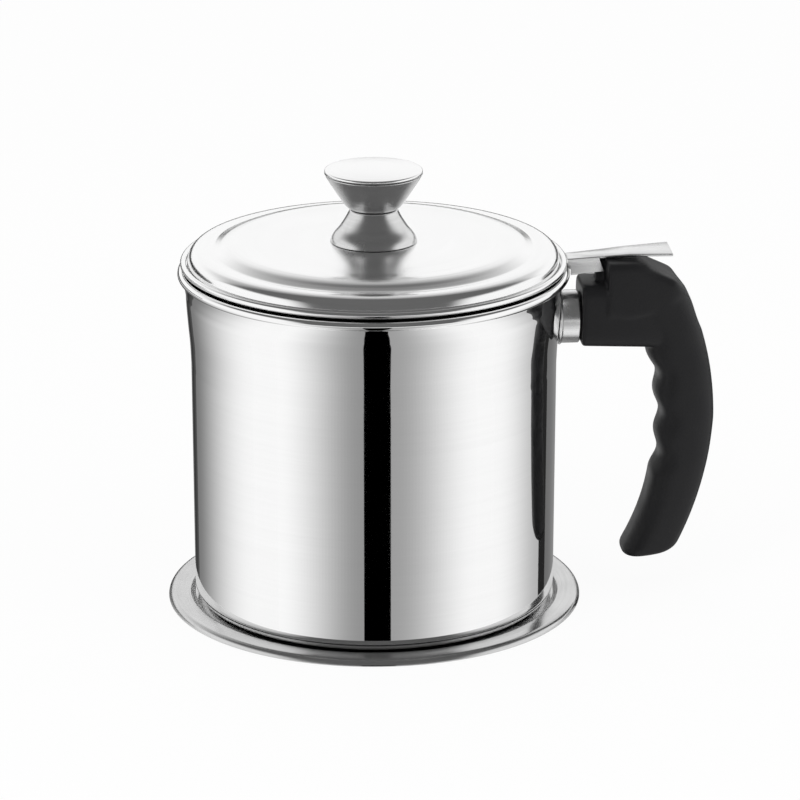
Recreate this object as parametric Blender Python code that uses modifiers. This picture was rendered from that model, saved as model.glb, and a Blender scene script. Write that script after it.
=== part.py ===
"""Bacon grease container: a steel pot on a tray, with a lift-out strainer and a knobbed lid.

Metres, +Z up. The origin is the centre of the tray's underside, the pot's axis is Z and
the handle points along +X. Every round piece is turned about the axis that carries it.
"""
import math

import bmesh
import bpy
from mathutils import Matrix, Vector

# Sheet steel and the clearances between pieces
SHEET = 0.0006
FIT_GAP = 0.0003
OVERRUN = 0.0020

# Tray
TRAY_WELL_CLEARANCE = 0.0004
TRAY_FLANGE_WIDTH = 0.00705
TRAY_FLANGE_HEIGHT = 0.0021
TRAY_EDGE_RADIUS = 0.0018
TRAY_STEP_WIDTH = 0.0007

# Pot
POT_DIA = 0.1092
POT_HEIGHT = 0.1027
POT_DRAFT = 0.0002
POT_CORNER_RADIUS = 0.0042
POT_FLARE_HEIGHT = 0.0220
POT_FLARE_GAIN = 0.0014
RIM_OVERHANG = 0.00235
RIM_LIP_HEIGHT = 0.0072
RIM_BEAD = 0.0026

# Strainer pan
FLANGE_INSET = 0.00085
FLANGE_BEAD = 0.0018
COLLAR_CLEARANCE = 0.0008
COLLAR_BEND = 0.0015
STRAINER_DEPTH = 0.0185
STRAINER_CORNER_RADIUS = 0.0040
WINDOW_DIA = 0.0680

# Strainer net and the ring that clamps it
NET_LAP = 0.0030
NET_PITCH = 0.0050
NET_WIRE = 0.0010
NET_THICKNESS = 0.0008
CLAMP_LEG = 0.0010
CLAMP_THICKNESS = 0.0010

# Thumb tab of the strainer
TAB_ROOT_WIDTH = 0.0068
TAB_BEND_WIDTH = 0.0095
TAB_TIP_WIDTH = 0.0134
TAB_THICKNESS = 0.0008
TAB_BEND_REACH = 0.0186
TAB_LENGTH = 0.0311
TAB_DROP = 0.0009
TAB_BEND_RISE = 0.00155
TAB_TIP_RISE = 0.0019
TAB_TIP_CORNER = 0.0010
TAB_SIDE_LENGTH = 0.0092
TAB_SIDE_DEPTH = 0.0047
TAB_SIDE_SLANT = 0.0016
TAB_SIDE_CORNER = 0.0010
TAB_SIDE_INSET = 0.00005

# Lid
LID_HEM = 0.0012
LID_HEIGHT = 0.0064
LID_BORDER_WIDTH = 0.0062
LID_BORDER_HEIGHT = 0.0049
LID_STEP_WIDTH = 0.0026
LID_CROWN = 0.0003

# Knob
KNOB_HEIGHT = 0.0224
KNOB_FOOT_DIA = 0.0259
KNOB_FOOT_HEIGHT = 0.0096
KNOB_NECK_DIA = 0.0142
KNOB_CUP_DIA = 0.0292
KNOB_CAP_CROWN = 0.0007
KNOB_CAP_EDGE = 0.0012
INSERT_DIA = 0.0070
INSERT_HEAD_DIA = 0.0106
INSERT_HEAD_THICKNESS = 0.0012

# Screw, stud, washers and nut
THREAD_DIA = 0.0040
SCREW_HEAD_DIA = 0.0076
SCREW_HEAD_HEIGHT = 0.0018
SCREW_REACH = 0.0090
SLOT_WIDTH = 0.0010
SLOT_DEPTH = 0.0007
WASHER_DIA = 0.0092
WASHER_THICKNESS = 0.0008
NUT_FLATS = 0.0070
NUT_HEIGHT = 0.0032
STUD_BASE_DIA = 0.0110
STUD_BASE_THICKNESS = 0.0012
STUD_TIP = 0.0015

# Ferrule between the pot and the handle
FERRULE_DIA = 0.0160
FERRULE_WALL = 0.0007
FERRULE_END = 0.0070
FERRULE_DROP = 0.0170
FERRULE_LIP = 0.0005
FERRULE_LIP_REACH = 0.0022

# Handle
NECK_HEIGHT = 0.0194
NECK_GAIN = 0.0020
NECK_RAISE = 0.0017
NECK_INSET = 0.0004
HANDLE_WIDTH = 0.0200
SPIGOT_LENGTH = 0.0036
GRIP_REACH = 0.0485
GRIP_BACK_RADIUS = 0.0928
GRIP_THICKNESS = 0.0163
GRIP_SWELL_DROP = 0.0317
GRIP_DROP = 0.0713
GRIP_TAPER = 0.0011
GRIP_END_ROUND = 0.0030
GRIP_END_SLANT_DEGREES = 7.0
RAMP_RISE = 0.0084
HUMP_RISE = 0.0186
HUMP_FLAT_REACH = 0.0239
NOSE_REACH = 0.0120
NOSE_LENGTH = 0.0025
NOSE_CLEARANCE = 0.0004
FINGER_PITCH = 0.0128
FINGER_RIDGE = 0.0016
FINGER_FIRST_RISE = 0.0077
NUT_POCKET_DIA = 0.0098
NUT_POCKET_REACH = 0.0335

# How finely the round forms are cut
LARGE_STEPS = 48
KNOB_STEPS = 32
SMALL_STEPS = 20
ARC_STEPS = 4
SECTION_POINTS = 20
GRIP_STATIONS = 30
FINGER_RIDGES = 3

# Outlines that no arc describes, as shares of the run and the rise that they follow
FLARE_SHARES = ((0.0, 0.0), (0.21, 0.3), (0.57, 0.57), (0.93, 0.9), (1.0, 1.0))
LIP_SHARES = ((0.28, 0.32), (0.78, 0.63), (0.97, 0.86))
SKIRT_SHARES = ((0.0, 0.0), (0.04, 0.35), (0.14, 0.68), (0.32, 0.9), (0.6, 1.0), (0.92, 1.02))
STEP_SHARES = ((0.3, 0.12), (0.6, 0.52), (0.82, 0.86), (1.0, 1.0))
FOOT_SHARES = ((0.0, 0.0), (0.06, 0.1), (0.5, 0.46), (0.82, 0.78), (1.0, 1.0))
CUP_SHARES = ((0.0, 0.0), (0.12, 0.06), (0.38, 0.3), (0.62, 0.56), (0.87, 0.84), (1.0, 1.0))
RAMP_SHARES = ((0.11, 0.18), (0.24, 0.42), (0.39, 0.54), (0.7, 0.76), (0.865, 0.92), (1.0, 1.0))
GRIP_POWER = 2.8
HUMP_POWER = 4.0

# Heights that follow from the sizes above
POT_BOTTOM = SHEET + FIT_GAP
RIM_TOP = POT_BOTTOM + POT_HEIGHT
FLANGE_UNDER = RIM_TOP + FIT_GAP
FLANGE_TOP = FLANGE_UNDER + SHEET
STRAINER_FLOOR = FLANGE_TOP - STRAINER_DEPTH
NET_BOTTOM = STRAINER_FLOOR + SHEET + FIT_GAP
LID_SEAT = FLANGE_TOP + FIT_GAP
LID_TOP = LID_SEAT + LID_HEIGHT
KNOB_SEAT = LID_TOP + LID_CROWN + FIT_GAP
CUP_SEAT = KNOB_SEAT + KNOB_FOOT_HEIGHT + FIT_GAP
CAP_SEAT = KNOB_SEAT + KNOB_HEIGHT - KNOB_CAP_CROWN - KNOB_CAP_EDGE
FERRULE_HEIGHT = RIM_TOP - FERRULE_DROP

# Radii and reaches that follow from the sizes above
POT_RADIUS = POT_DIA / 2
TRAY_WELL_RADIUS = POT_RADIUS + TRAY_WELL_CLEARANCE
COLLAR_RADIUS = POT_RADIUS - SHEET - COLLAR_CLEARANCE
RIM_RADIUS = POT_RADIUS + POT_DRAFT + POT_FLARE_GAIN + RIM_OVERHANG
FLANGE_RADIUS = RIM_RADIUS - FLANGE_INSET
LID_RADIUS = FLANGE_RADIUS - FLANGE_BEAD - FIT_GAP
NET_RADIUS = WINDOW_DIA / 2 + NET_LAP
BORE_RADIUS = THREAD_DIA / 2 + FIT_GAP
FERRULE_FACE = POT_RADIUS + FERRULE_END
NECK_FACE = FERRULE_FACE + FIT_GAP
POCKET_FLOOR = POT_RADIUS + NUT_POCKET_REACH

parts = bpy.data.collections.new("bacon_grease_container")
cutters = bpy.data.collections.new("cutters")


def clear_scene():
    for thing in list(bpy.data.objects):
        bpy.data.objects.remove(thing, do_unlink=True)


def finish(name, colour, metallic, roughness):
    """A Principled material of one colour."""
    material = bpy.data.materials.new(name)
    material.use_nodes = True
    shader = material.node_tree.nodes["Principled BSDF"]
    shader.inputs["Base Color"].default_value = (*colour, 1.0)
    shader.inputs["Metallic"].default_value = metallic
    shader.inputs["Roughness"].default_value = roughness
    material.diffuse_color = (*colour, 1.0)
    return material


def add_object(name, mesh, material):
    """A sub-part when it has a material, and otherwise a cutter."""
    thing = bpy.data.objects.new(name, mesh)
    if material:
        parts.objects.link(thing)
        mesh.materials.append(material)
    else:
        cutters.objects.link(thing)
        thing.hide_render = True
        thing.display_type = "WIRE"
    return thing


def arc(radius_centre, height_centre, radius, start, end, steps=ARC_STEPS):
    """Points on an arc in the (radius, height) plane, with angles in degrees from outwards."""
    points = []
    for i in range(steps + 1):
        angle = math.radians(start + (end - start) * i / steps)
        points.append((radius_centre + radius * math.cos(angle),
                       height_centre + radius * math.sin(angle)))
    return points


def along(start, end, shares):
    """Points between two (radius, height) corners, at shares of the run and of the rise."""
    run = end[0] - start[0]
    rise = end[1] - start[1]
    return [(start[0] + run * across, start[1] + rise * up) for across, up in shares]


def inwards(points, distance):
    """The same outline moved towards its axis, from its last point back to its first."""
    return [(radius - distance, height) for radius, height in reversed(points)]


def turned(name, outline, material, steps):
    """Turn an outline of (radius, height) points, down its outer side, about Z.

    An outline that starts and ends on the axis stays open, and any other is closed.
    """
    mesh = bpy.data.meshes.new(name)
    bm = bmesh.new()
    verts = [bm.verts.new((radius, 0, height)) for radius, height in outline]
    for first, second in zip(verts, verts[1:]):
        bm.edges.new((first, second))
    if outline[0][0] > 0:
        bm.edges.new((verts[-1], verts[0]))
    bm.to_mesh(mesh)
    bm.free()
    thing = add_object(name, mesh, material)
    screw = thing.modifiers.new("Turn", "SCREW")
    screw.axis = "Z"
    screw.angle = math.tau
    screw.steps = steps
    screw.render_steps = steps
    screw.use_merge_vertices = True
    screw.merge_threshold = 0.00001
    screw.use_smooth_shade = True
    return thing


def lay_along_x(thing, reach):
    """Turn a piece made about Z so that it runs out along +X on the ferrule's axis."""
    thing.rotation_euler = (0, math.pi / 2, 0)
    thing.location = (reach, 0, FERRULE_HEIGHT)
    return thing


def cut(thing, cutter, operation="DIFFERENCE"):
    boolean = thing.modifiers.new("Cut " + cutter.name, "BOOLEAN")
    boolean.object = cutter
    boolean.operation = operation
    boolean.solver = "EXACT"


def box(name, low, high, material=None):
    mesh = bpy.data.meshes.new(name)
    bm = bmesh.new()
    size = Vector(high) - Vector(low)
    middle = (Vector(high) + Vector(low)) / 2
    place = Matrix.Translation(middle) @ Matrix.Diagonal((*size, 1))
    bmesh.ops.create_cube(bm, size=1, matrix=place)
    bm.to_mesh(mesh)
    bm.free()
    return add_object(name, mesh, material)


def cylinder(name, radius, low, high, material=None, sides=SMALL_STEPS):
    """A cylinder about Z between two heights."""
    mesh = bpy.data.meshes.new(name)
    bm = bmesh.new()
    place = Matrix.Translation((0, 0, (low + high) / 2))
    bmesh.ops.create_cone(bm, cap_ends=True, segments=sides, radius1=radius, radius2=radius,
                          depth=high - low, matrix=place)
    bm.to_mesh(mesh)
    bm.free()
    return add_object(name, mesh, material)


def loft(name, rings, material=None):
    """Skin a row of rings of points, and close both ends."""
    mesh = bpy.data.meshes.new(name)
    bm = bmesh.new()
    rows = [[bm.verts.new(point) for point in ring] for ring in rings]
    for upper, lower in zip(rows, rows[1:]):
        for i, vert in enumerate(upper):
            j = (i + 1) % len(upper)
            bm.faces.new((vert, upper[j], lower[j], lower[i]))
    bm.faces.new(rows[0])
    bm.faces.new(rows[-1])
    bmesh.ops.recalc_face_normals(bm, faces=bm.faces)
    bm.to_mesh(mesh)
    bm.free()
    mesh.shade_smooth()
    mesh.set_sharp_from_angle(angle=math.radians(35))
    return add_object(name, mesh, material)


def section(inner, outer, half_width, shrink=0.0, power=GRIP_POWER):
    """A rounded-rectangle ring between two (reach, height) points of the handle's side view."""
    inner = Vector((inner[0], 0, inner[1]))
    outer = Vector((outer[0], 0, outer[1]))
    middle = (inner + outer) / 2
    across = (outer - inner).normalized() * ((outer - inner).length / 2 - shrink)
    wide = Vector((0, half_width - shrink, 0))
    ring = []
    for i in range(SECTION_POINTS):
        angle = math.tau * i / SECTION_POINTS
        u = math.copysign(abs(math.cos(angle)) ** (2 / power), math.cos(angle))
        v = math.copysign(abs(math.sin(angle)) ** (2 / power), math.sin(angle))
        ring.append(middle + across * u + wide * v)
    return ring


def pot_side(gap=0.0):
    """The pot's outer side, down from the rim's bead to the middle of its base."""
    bead = RIM_BEAD / 2
    tip = (RIM_RADIUS, RIM_TOP - bead)
    lip_foot = (POT_RADIUS + POT_DRAFT + POT_FLARE_GAIN, RIM_TOP - RIM_LIP_HEIGHT)
    flare_foot = (POT_RADIUS + POT_DRAFT, lip_foot[1] - POT_FLARE_HEIGHT)
    corner = POT_CORNER_RADIUS
    side = [tip] + along(lip_foot, tip, LIP_SHARES)[::-1]
    side += along(flare_foot, lip_foot, FLARE_SHARES)[::-1]
    side += arc(POT_RADIUS - corner, POT_BOTTOM + corner, corner, 0, -90)
    return [(radius + gap, height) for radius, height in side]


# Tray: a flat well under the pot, a step up to the flange and an edge rolled down
def make_tray(steel):
    top = TRAY_FLANGE_HEIGHT
    step = TRAY_WELL_RADIUS + TRAY_STEP_WIDTH
    edge = step + TRAY_FLANGE_WIDTH
    roll = (edge - TRAY_EDGE_RADIUS, top - TRAY_EDGE_RADIUS)
    shift = SHEET / 2
    outline = [(0, SHEET), (TRAY_WELL_RADIUS, SHEET), (step, top)]
    outline += arc(*roll, TRAY_EDGE_RADIUS, 90, 0)
    outline += arc(*roll, TRAY_EDGE_RADIUS - SHEET, 0, 90)
    outline += [(step + shift, top - SHEET), (TRAY_WELL_RADIUS + shift, 0), (0, 0)]
    turned("tray", outline, steel, LARGE_STEPS)


# Pot: a drawn canister that flares under its rolled rim
def make_pot(steel):
    bead = RIM_BEAD / 2
    corner = POT_CORNER_RADIUS
    flare_top = RIM_TOP - RIM_LIP_HEIGHT
    side = pot_side()
    wall = [point for point in side if POT_BOTTOM + corner <= point[1] <= flare_top]
    inside = [(0, POT_BOTTOM + SHEET)]
    inside += arc(POT_RADIUS - corner, POT_BOTTOM + corner, corner - SHEET, -90, 0)[:-1]
    inside += inwards(wall, SHEET)
    rim = arc(RIM_RADIUS - bead, RIM_TOP - bead, bead, 180, 0)[:-1]
    turned("pot_shell", inside + rim + side + [(0, POT_BOTTOM)], steel, LARGE_STEPS)


# Ferrule: a short tube with a raised lip, fish-mouthed to the pot's side
def make_ferrule(steel, envelope):
    root = POT_RADIUS - FERRULE_END
    length = FERRULE_FACE - root
    outer = FERRULE_DIA / 2
    inner = outer - FERRULE_WALL
    lip = length - FERRULE_END + FERRULE_LIP_REACH
    outline = [(inner, length), (outer - FERRULE_LIP, length), (outer, length - FERRULE_LIP)]
    outline += [(outer, lip + FERRULE_LIP)]
    outline += arc(outer, lip, FERRULE_LIP, 60, -60, 3)
    outline += [(outer, lip - FERRULE_LIP), (outer, 0), (inner, 0)]
    ferrule = turned("handle_ferrule", outline, steel, SMALL_STEPS + ARC_STEPS)
    lay_along_x(ferrule, root)
    cut(ferrule, envelope)


# Stud: a threaded pin on a round foot, welded to the pot inside the ferrule
def make_stud(steel, envelope):
    root = POT_RADIUS - STUD_BASE_THICKNESS
    foot = POT_FLARE_GAIN + STUD_BASE_THICKNESS * 2
    tip = POCKET_FLOOR + WASHER_THICKNESS + NUT_HEIGHT + FIT_GAP * 2 + STUD_TIP
    length = tip - root
    thread = THREAD_DIA / 2
    chamfer = thread / 4
    base = STUD_BASE_DIA / 2
    outline = [(0, length), (thread - chamfer, length), (thread, length - chamfer)]
    outline += [(thread, foot), (base, foot), (base, 0), (0, 0)]
    stud = turned("handle_stud", outline, steel, SMALL_STEPS)
    lay_along_x(stud, root)
    cut(stud, envelope)


def make_washer(name, steel):
    outer = WASHER_DIA / 2
    outline = [(BORE_RADIUS, WASHER_THICKNESS), (outer, WASHER_THICKNESS), (outer, 0), (BORE_RADIUS, 0)]
    return turned(name, outline, steel, SMALL_STEPS)


# Nut: a hexagon with chamfered corners, cut by a cone at each end
def make_nut(steel):
    corner = NUT_FLATS / math.sqrt(3)
    nut = cylinder("handle_nut", corner, 0, NUT_HEIGHT, steel, sides=6)
    chamfer = corner - NUT_FLATS / 2
    reach = corner + chamfer
    outline = [(0, NUT_HEIGHT), (NUT_FLATS / 2, NUT_HEIGHT), (reach, NUT_HEIGHT - chamfer)]
    outline += [(reach, 0), (0, 0)]
    blank = turned("nut_chamfer", outline, None, SMALL_STEPS)
    bore = cylinder("nut_bore", BORE_RADIUS, -OVERRUN, NUT_HEIGHT + OVERRUN)
    reach = POCKET_FLOOR + WASHER_THICKNESS + FIT_GAP * 2
    for piece in (nut, blank, bore):
        lay_along_x(piece, reach)
    cut(nut, blank, "INTERSECT")
    cut(nut, bore)


def grip_rings():
    """The grip's sections, from its lower end up its arc, over the hump and down to the nose."""
    centre = Vector((POT_RADIUS + GRIP_REACH - GRIP_BACK_RADIUS, FERRULE_HEIGHT - GRIP_SWELL_DROP))
    front_radius = GRIP_BACK_RADIUS - GRIP_THICKNESS
    top = math.asin((GRIP_SWELL_DROP + RAMP_RISE) / GRIP_BACK_RADIUS)
    end = math.asin((GRIP_SWELL_DROP - GRIP_DROP) / GRIP_BACK_RADIUS)
    slant = math.radians(GRIP_END_SLANT_DEGREES)
    first = FINGER_FIRST_RISE / front_radius
    pitch = FINGER_PITCH / front_radius
    last = first - pitch * (FINGER_RIDGES - 1)
    half = HANDLE_WIDTH / 2

    def ridge(angle):
        """How far the finger side stands in at an angle: a wave, easing out below its last ridge."""
        wave = (1 + math.cos(math.tau * (angle - first) / pitch)) / 2
        if angle >= last:
            return FINGER_RIDGE * wave
        return FINGER_RIDGE * max(0.0, 1 - (last - angle) / (last - end + slant))

    def spot(angle, radius):
        return centre + Vector((math.cos(angle), math.sin(angle))) * radius

    def taper(angle):
        """How far each side of the grip has drawn in at an angle: nothing above its middle."""
        share = min(1.0, max(0.0, angle / end))
        return GRIP_TAPER * share * (2 - share)

    rings = []
    for i in range(GRIP_STATIONS + 1):
        share = i / GRIP_STATIONS
        back = end + (top - end) * share
        front = back - slant * (1 - share) ** 4
        inner = spot(front, front_radius + taper(front) - ridge(front))
        outer = spot(back, GRIP_BACK_RADIUS - taper(back))
        if i == 0:
            down = Vector((math.sin(end), -math.cos(end))) * GRIP_END_ROUND
            for depth, inset in arc(0, 1, 1, 0, -90)[:-1]:
                rings.append(section(inner + down * depth, outer + down * depth, half, GRIP_END_ROUND * inset))
        rings.append(section(inner, outer, half))
    flat = Vector((POT_RADIUS + HUMP_FLAT_REACH, FERRULE_HEIGHT + HUMP_RISE))
    nose = POT_RADIUS + NOSE_REACH
    shoulder = nose + NOSE_LENGTH
    front = shoulder + NOSE_CLEARANCE
    for i, point in enumerate(along(outer, flat, RAMP_SHARES), start=1):
        reach = inner.x + (front - inner.x) * i / (len(RAMP_SHARES) + 1)
        rings.append(section((reach, inner.y), point, half, power=HUMP_POWER))
    channel = TAB_ROOT_WIDTH / 2 - TAB_THICKNESS
    rings.append(section((front, inner.y), (front, flat.y), half, power=HUMP_POWER))
    for reach in (shoulder, nose):
        rings.append(section((reach, inner.y), (reach, flat.y - NOSE_CLEARANCE), channel, power=HUMP_POWER))
    return rings


# Handle: one moulding of neck, hump and grip, bored for the stud and pocketed for its nut
def make_grip(plastic):
    grip = loft("handle_grip", grip_rings(), plastic)
    middle = FERRULE_HEIGHT + NECK_RAISE
    inside = POT_RADIUS + GRIP_REACH - GRIP_THICKNESS
    low = middle - NECK_HEIGHT / 2
    high = middle + NECK_HEIGHT / 2
    half = HANDLE_WIDTH / 2 - NECK_INSET
    neck_rings = [section((NECK_FACE, low), (NECK_FACE, high), half, NECK_INSET)]
    neck_rings.append(section((NECK_FACE + NECK_INSET, low), (NECK_FACE + NECK_INSET, high), half))
    neck_rings.append(section((inside, low - NECK_GAIN / 2), (inside, high + NECK_GAIN / 2), half))
    cut(grip, loft("neck_form", neck_rings), "UNION")
    spigot = cylinder("spigot_form", FERRULE_DIA / 2 - FERRULE_WALL - FIT_GAP, -SPIGOT_LENGTH, OVERRUN)
    cut(grip, lay_along_x(spigot, NECK_FACE), "UNION")
    bore = cylinder("stud_bore", BORE_RADIUS, -SPIGOT_LENGTH - OVERRUN, POCKET_FLOOR - NECK_FACE + OVERRUN)
    cut(grip, lay_along_x(bore, NECK_FACE))
    pocket = cylinder("nut_pocket", NUT_POCKET_DIA / 2, 0, GRIP_THICKNESS + OVERRUN)
    cut(grip, lay_along_x(pocket, POCKET_FLOOR))


# Strainer pan: a flange with a beaded edge, a collar that drops into the pot and a window
def make_pan(steel):
    bead = FLANGE_BEAD / 2
    edge = (FLANGE_RADIUS - bead, FLANGE_TOP + bead)
    bend = (COLLAR_RADIUS + COLLAR_BEND, FLANGE_UNDER - COLLAR_BEND)
    corner = STRAINER_CORNER_RADIUS
    base = (COLLAR_RADIUS - corner, STRAINER_FLOOR + corner)
    window = WINDOW_DIA / 2
    outline = arc(*edge, bead, 225, -60, ARC_STEPS + 1)
    outline += [(edge[0], FLANGE_UNDER)]
    outline += arc(*bend, COLLAR_BEND, 90, 180)
    outline += arc(*base, corner, 0, -90)
    outline += [(window, STRAINER_FLOOR), (window, STRAINER_FLOOR + SHEET)]
    outline += arc(*base, corner - SHEET, -90, 0)
    outline += arc(*bend, COLLAR_BEND + SHEET, 180, 90)
    turned("strainer_pan", outline, steel, LARGE_STEPS)


# Net: a square lattice, cut to a disc that laps the window's edge
def make_net(steel):
    cells = math.ceil(2 * NET_RADIUS / NET_PITCH)
    cells += 1 - cells % 2
    mesh = bpy.data.meshes.new("strainer_net")
    bm = bmesh.new()
    bmesh.ops.create_grid(bm, x_segments=cells, y_segments=cells, size=cells * NET_PITCH / 2)
    holes = list(bm.faces)
    bmesh.ops.inset_individual(bm, faces=holes, thickness=NET_WIRE / 2, use_even_offset=True)
    bmesh.ops.delete(bm, geom=holes, context="FACES")
    bmesh.ops.translate(bm, verts=bm.verts, vec=(0, 0, NET_BOTTOM + NET_THICKNESS))
    bm.to_mesh(mesh)
    bm.free()
    net = add_object("strainer_net", mesh, steel)
    solidify = net.modifiers.new("Wire", "SOLIDIFY")
    solidify.thickness = NET_THICKNESS
    solidify.offset = -1
    blank = cylinder("net_blank", NET_RADIUS, NET_BOTTOM - OVERRUN, NET_BOTTOM + NET_THICKNESS + OVERRUN,
                     sides=LARGE_STEPS)
    cut(net, blank, "INTERSECT")


# Clamp ring: holds the net down, with a leg outside it on the pan's floor
def make_clamp_ring(steel):
    inner = WINDOW_DIA / 2
    leg = NET_RADIUS + FIT_GAP
    under = NET_BOTTOM + NET_THICKNESS + FIT_GAP
    top = under + CLAMP_THICKNESS
    foot = STRAINER_FLOOR + SHEET + FIT_GAP
    outer = leg + CLAMP_LEG
    round_off = CLAMP_THICKNESS / 2
    outline = [(inner, top), (outer - round_off, top), (outer, top - round_off), (outer, foot)]
    outline += [(leg, foot), (leg, under), (inner, under)]
    turned("strainer_ring", outline, steel, LARGE_STEPS)


# Thumb tab: a strip that widens as it rises from the flange, its sides folded down at the root
def make_tab(steel):
    root = FLANGE_RADIUS + FIT_GAP
    top = FLANGE_TOP + FLANGE_BEAD - TAB_DROP
    plan = ((0, TAB_ROOT_WIDTH / 2, 0), (TAB_BEND_REACH, TAB_BEND_WIDTH / 2, TAB_BEND_RISE),
            (TAB_LENGTH, TAB_TIP_WIDTH / 2, TAB_TIP_RISE))

    def edge(reach):
        """Half the tab's width and its height at a reach from its root."""
        leg = plan[:2] if reach <= TAB_BEND_REACH else plan[1:]
        share = (reach - leg[0][0]) / (leg[1][0] - leg[0][0])
        return [leg[0][k] + (leg[1][k] - leg[0][k]) * share for k in (1, 2)]

    def rib(reach, inset=0.0):
        half, rise = edge(reach)
        half -= inset
        high = top + rise
        low = high - TAB_THICKNESS
        return [(root + reach, y, z) for y, z in ((-half, low), (-half, high), (half, high), (half, low))]

    ribs = [rib(-TAB_THICKNESS), rib(TAB_BEND_REACH)]
    for reach, inset in arc(TAB_LENGTH - TAB_TIP_CORNER, TAB_TIP_CORNER, TAB_TIP_CORNER, -90, 0):
        ribs.append(rib(reach, inset))
    tab = loft("strainer_tab", ribs, steel)
    corner = (TAB_SIDE_LENGTH + TAB_SIDE_SLANT - TAB_SIDE_CORNER, TAB_SIDE_DEPTH - TAB_SIDE_CORNER)
    outline = [(-TAB_THICKNESS, TAB_THICKNESS / 2), (-TAB_THICKNESS, TAB_SIDE_DEPTH)]
    outline += arc(*corner, TAB_SIDE_CORNER, 90, -10)
    outline += [(TAB_SIDE_LENGTH, TAB_THICKNESS / 2)]
    for side, name in ((-1, "tab_near_fold"), (1, "tab_far_fold")):
        rings = []
        for inset in (TAB_SIDE_INSET, TAB_THICKNESS):
            places = [(reach, depth, *edge(reach)) for reach, depth in outline]
            rings.append([(root + reach, side * (half - inset), top + rise - depth)
                          for reach, depth, half, rise in places])
        cut(tab, loft(name, rings), "UNION")
    rim = RIM_RADIUS + FIT_GAP
    high = top + OVERRUN
    low = top - TAB_SIDE_DEPTH * 2
    relief = [(0, high), (root, high), (root, FLANGE_UNDER), (rim, FLANGE_UNDER), (rim, low), (0, low)]
    cut(tab, turned("tab_relief", relief, None, LARGE_STEPS * 2))


# Lid: a hemmed skirt, a rounded border and a stepped-up, barely crowned top
def make_lid(steel):
    hem = LID_HEM / 2
    crest = (LID_RADIUS - LID_BORDER_WIDTH, LID_SEAT + LID_BORDER_HEIGHT)
    foot = (LID_RADIUS, LID_SEAT + hem)
    dome = (crest[0] - LID_STEP_WIDTH, LID_TOP)
    middle = (dome[0] / 2, LID_TOP + LID_CROWN * 0.75)
    outer = [(BORE_RADIUS, LID_TOP + LID_CROWN), middle]
    outer += along(crest, dome, STEP_SHARES)[::-1]
    outer += along(foot, crest, SKIRT_SHARES)[::-1]
    inner = [(radius - SHEET * 0.5, height - SHEET) for radius, height in outer[1:-2]]
    inner = [(BORE_RADIUS, LID_TOP + LID_CROWN - SHEET)] + inner
    outline = outer + arc(LID_RADIUS - hem, LID_SEAT + hem, hem, 0, -180)[1:]
    turned("lid_shell", outline + inner[::-1], steel, LARGE_STEPS)


# Knob foot: a spun cone from the lid up to the neck
def make_knob_foot(steel):
    neck = KNOB_NECK_DIA / 2
    base = (KNOB_FOOT_DIA / 2, KNOB_SEAT)
    top = (neck, KNOB_SEAT + KNOB_FOOT_HEIGHT)
    side = along(base, top, FOOT_SHARES)
    bore = INSERT_DIA / 2 + FIT_GAP
    outline = [(bore, top[1])] + side[::-1]
    outline += inwards(side[::-1], SHEET)[:-1]
    outline += [(neck - SHEET, top[1] - SHEET), (bore, top[1] - SHEET)]
    turned("knob_foot", outline, steel, KNOB_STEPS)


# Knob cup: the inverted cone, open at its top under the cap
def make_knob_cup(steel):
    base = (KNOB_NECK_DIA / 2, CUP_SEAT)
    top = (KNOB_CUP_DIA / 2, CAP_SEAT)
    side = along(base, top, CUP_SHARES)
    bore = INSERT_DIA / 2 + FIT_GAP
    outline = side[::-1] + [(bore, CUP_SEAT), (bore, CUP_SEAT + SHEET)]
    outline += [(base[0] - SHEET, CUP_SEAT + SHEET)]
    outline += [(radius - SHEET, height) for radius, height in side[1:]]
    turned("knob_cup", outline, steel, KNOB_STEPS)


# Knob cap: a crowned disc with a turned-down edge over the cup
def make_knob_cap(steel):
    edge = KNOB_CUP_DIA / 2
    low = CAP_SEAT + FIT_GAP
    shoulder = CAP_SEAT + KNOB_CAP_EDGE
    crown = shoulder + KNOB_CAP_CROWN
    spring = edge - KNOB_CAP_EDGE
    plug = edge - SHEET - FIT_GAP * 2
    outline = [(0, crown), (spring * 0.5, crown - KNOB_CAP_CROWN * 0.25), (spring, shoulder)]
    outline += [(edge, shoulder - KNOB_CAP_EDGE / 2), (edge, low), (plug, low)]
    outline += [(plug, CAP_SEAT - SHEET), (plug - SHEET, CAP_SEAT - SHEET), (plug - SHEET, low)]
    outline += [(0, low)]
    turned("knob_cap", outline, steel, KNOB_STEPS)


# Knob insert: the threaded boss whose head pulls the cup and the foot down on the lid
def make_knob_insert(steel):
    shank = INSERT_DIA / 2
    head = INSERT_HEAD_DIA / 2
    low = KNOB_SEAT
    seat = CUP_SEAT + SHEET + FIT_GAP
    top = seat + INSERT_HEAD_THICKNESS
    depth = low + SCREW_REACH
    outline = [(0, top), (head, top), (head, seat), (shank, seat), (shank, low), (BORE_RADIUS, low)]
    outline += [(BORE_RADIUS, depth), (0, depth)]
    turned("knob_insert", outline, steel, SMALL_STEPS)


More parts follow.
